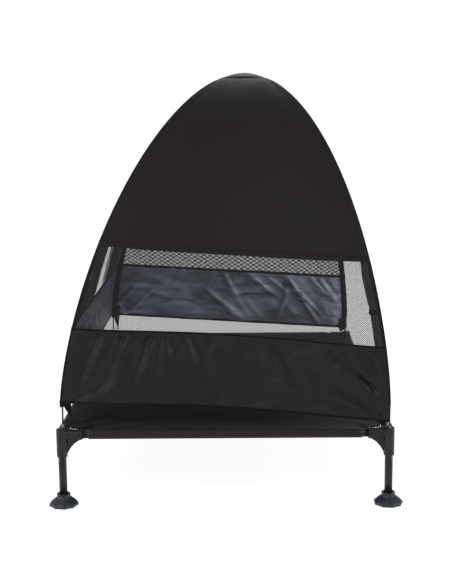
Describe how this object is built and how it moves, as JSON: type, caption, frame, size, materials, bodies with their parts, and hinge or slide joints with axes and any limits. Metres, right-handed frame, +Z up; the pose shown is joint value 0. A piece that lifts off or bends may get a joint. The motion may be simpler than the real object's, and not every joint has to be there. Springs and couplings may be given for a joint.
{
  "type": "raised dog bed with canopy",
  "caption": "Raised dog cot on plug-in legs with a fabric sling, under a lift-off pop-up canopy of polyester and mesh with an open doorway.",
  "frame": {"origin": "on the floor, under the middle of the frame", "axes": "+Z up, +Y along the bed away from the front end wall, +X across the bed towards the open doorway"},
  "size_m": [0.801, 1.106, 0.9729],
  "materials": {
    "bracket_plastic": "satin",
    "foot_rubber": "matte",
    "coated_steel": "satin",
    "sling_fabric": "matte",
    "roof_fabric": "matte",
    "band_fabric": "satin",
    "mesh_fabric": "matte",
    "flap_fabric": "matte",
    "webbing": "matte",
    "elastic": "matte",
    "pole_fibreglass": "gloss",
    "pole_steel": "satin"
  },
  "bodies": {
    "cot": {"end_rail_front": "coated_steel", "end_rail_back": "coated_steel", "side_rail_left": "coated_steel", "side_rail_right": "coated_steel", "bed_sling": "sling_fabric", "corner_bracket_front_left": "bracket_plastic", "corner_bracket_front_right": "bracket_plastic", "corner_bracket_back_right": "bracket_plastic", "corner_bracket_back_left": "bracket_plastic"},
    "leg_front_left": {"leg_tube_front_left": "coated_steel", "foot_front_left": "foot_rubber"},
    "leg_front_right": {"leg_tube_front_right": "coated_steel", "foot_front_right": "foot_rubber"},
    "leg_back_right": {"leg_tube_back_right": "coated_steel", "foot_back_right": "foot_rubber"},
    "leg_back_left": {"leg_tube_back_left": "coated_steel", "foot_back_left": "foot_rubber"},
    "canopy": {"pole_tip_front_left": "pole_steel", "pole_tip_front_right": "pole_steel", "pole_tip_back_right": "pole_steel", "pole_tip_back_left": "pole_steel", "lower_band_front": "band_fabric", "mesh_window_front": "mesh_fabric", "lower_band_back": "band_fabric", "mesh_window_back": "mesh_fabric", "lower_band_left": "band_fabric", "mesh_window_left_front": "mesh_fabric", "mesh_window_left_back": "mesh_fabric", "roof_panel_front": "roof_fabric", "roof_panel_right": "roof_fabric", "roof_panel_back": "roof_fabric", "roof_panel_left": "roof_fabric", "apex_patch": "webbing", "pole_a_segment_1": "pole_fibreglass", "pole_a_segment_2": "pole_fibreglass", "pole_a_segment_3": "pole_fibreglass", "pole_a_segment_4": "pole_fibreglass", "pole_a_segment_5": "pole_fibreglass", "pole_a_segment_6": "pole_fibreglass", "pole_b_segment_1": "pole_fibreglass", "pole_b_segment_2": "pole_fibreglass", "pole_b_segment_3": "pole_fibreglass", "pole_b_segment_4": "pole_fibreglass", "pole_b_segment_5": "pole_fibreglass", "pole_b_segment_6": "pole_fibreglass", "pole_sleeve_front_left": "webbing", "corner_tie_front_left": "webbing", "elastic_loop_front_left": "elastic", "pole_sleeve_front_right": "webbing", "corner_tie_front_right": "webbing", "elastic_loop_front_right": "elastic", "pole_sleeve_back_right": "webbing", "corner_tie_back_right": "webbing", "elastic_loop_back_right": "elastic", "pole_sleeve_back_left": "webbing", "corner_tie_back_left": "webbing", "elastic_loop_back_left": "elastic", "door_flap": "flap_fabric", "door_tie": "webbing"}
  },
  "joints": [
    {"name": "canopy_lift", "type": "slide", "parent": "cot", "child": "canopy", "axis": [0, 0, 1], "range_m": [0, 0.2]},
    {"name": "leg_pull_front_left", "type": "slide", "parent": "cot", "child": "leg_front_left", "axis": [0, 0, -1], "range_m": [0, 0.045]},
    {"name": "leg_pull_front_right", "type": "slide", "parent": "cot", "child": "leg_front_right", "axis": [0, 0, -1], "range_m": [0, 0.045]},
    {"name": "leg_pull_back_right", "type": "slide", "parent": "cot", "child": "leg_back_right", "axis": [0, 0, -1], "range_m": [0, 0.045]},
    {"name": "leg_pull_back_left", "type": "slide", "parent": "cot", "child": "leg_back_left", "axis": [0, 0, -1], "range_m": [0, 0.045]}
  ]
}
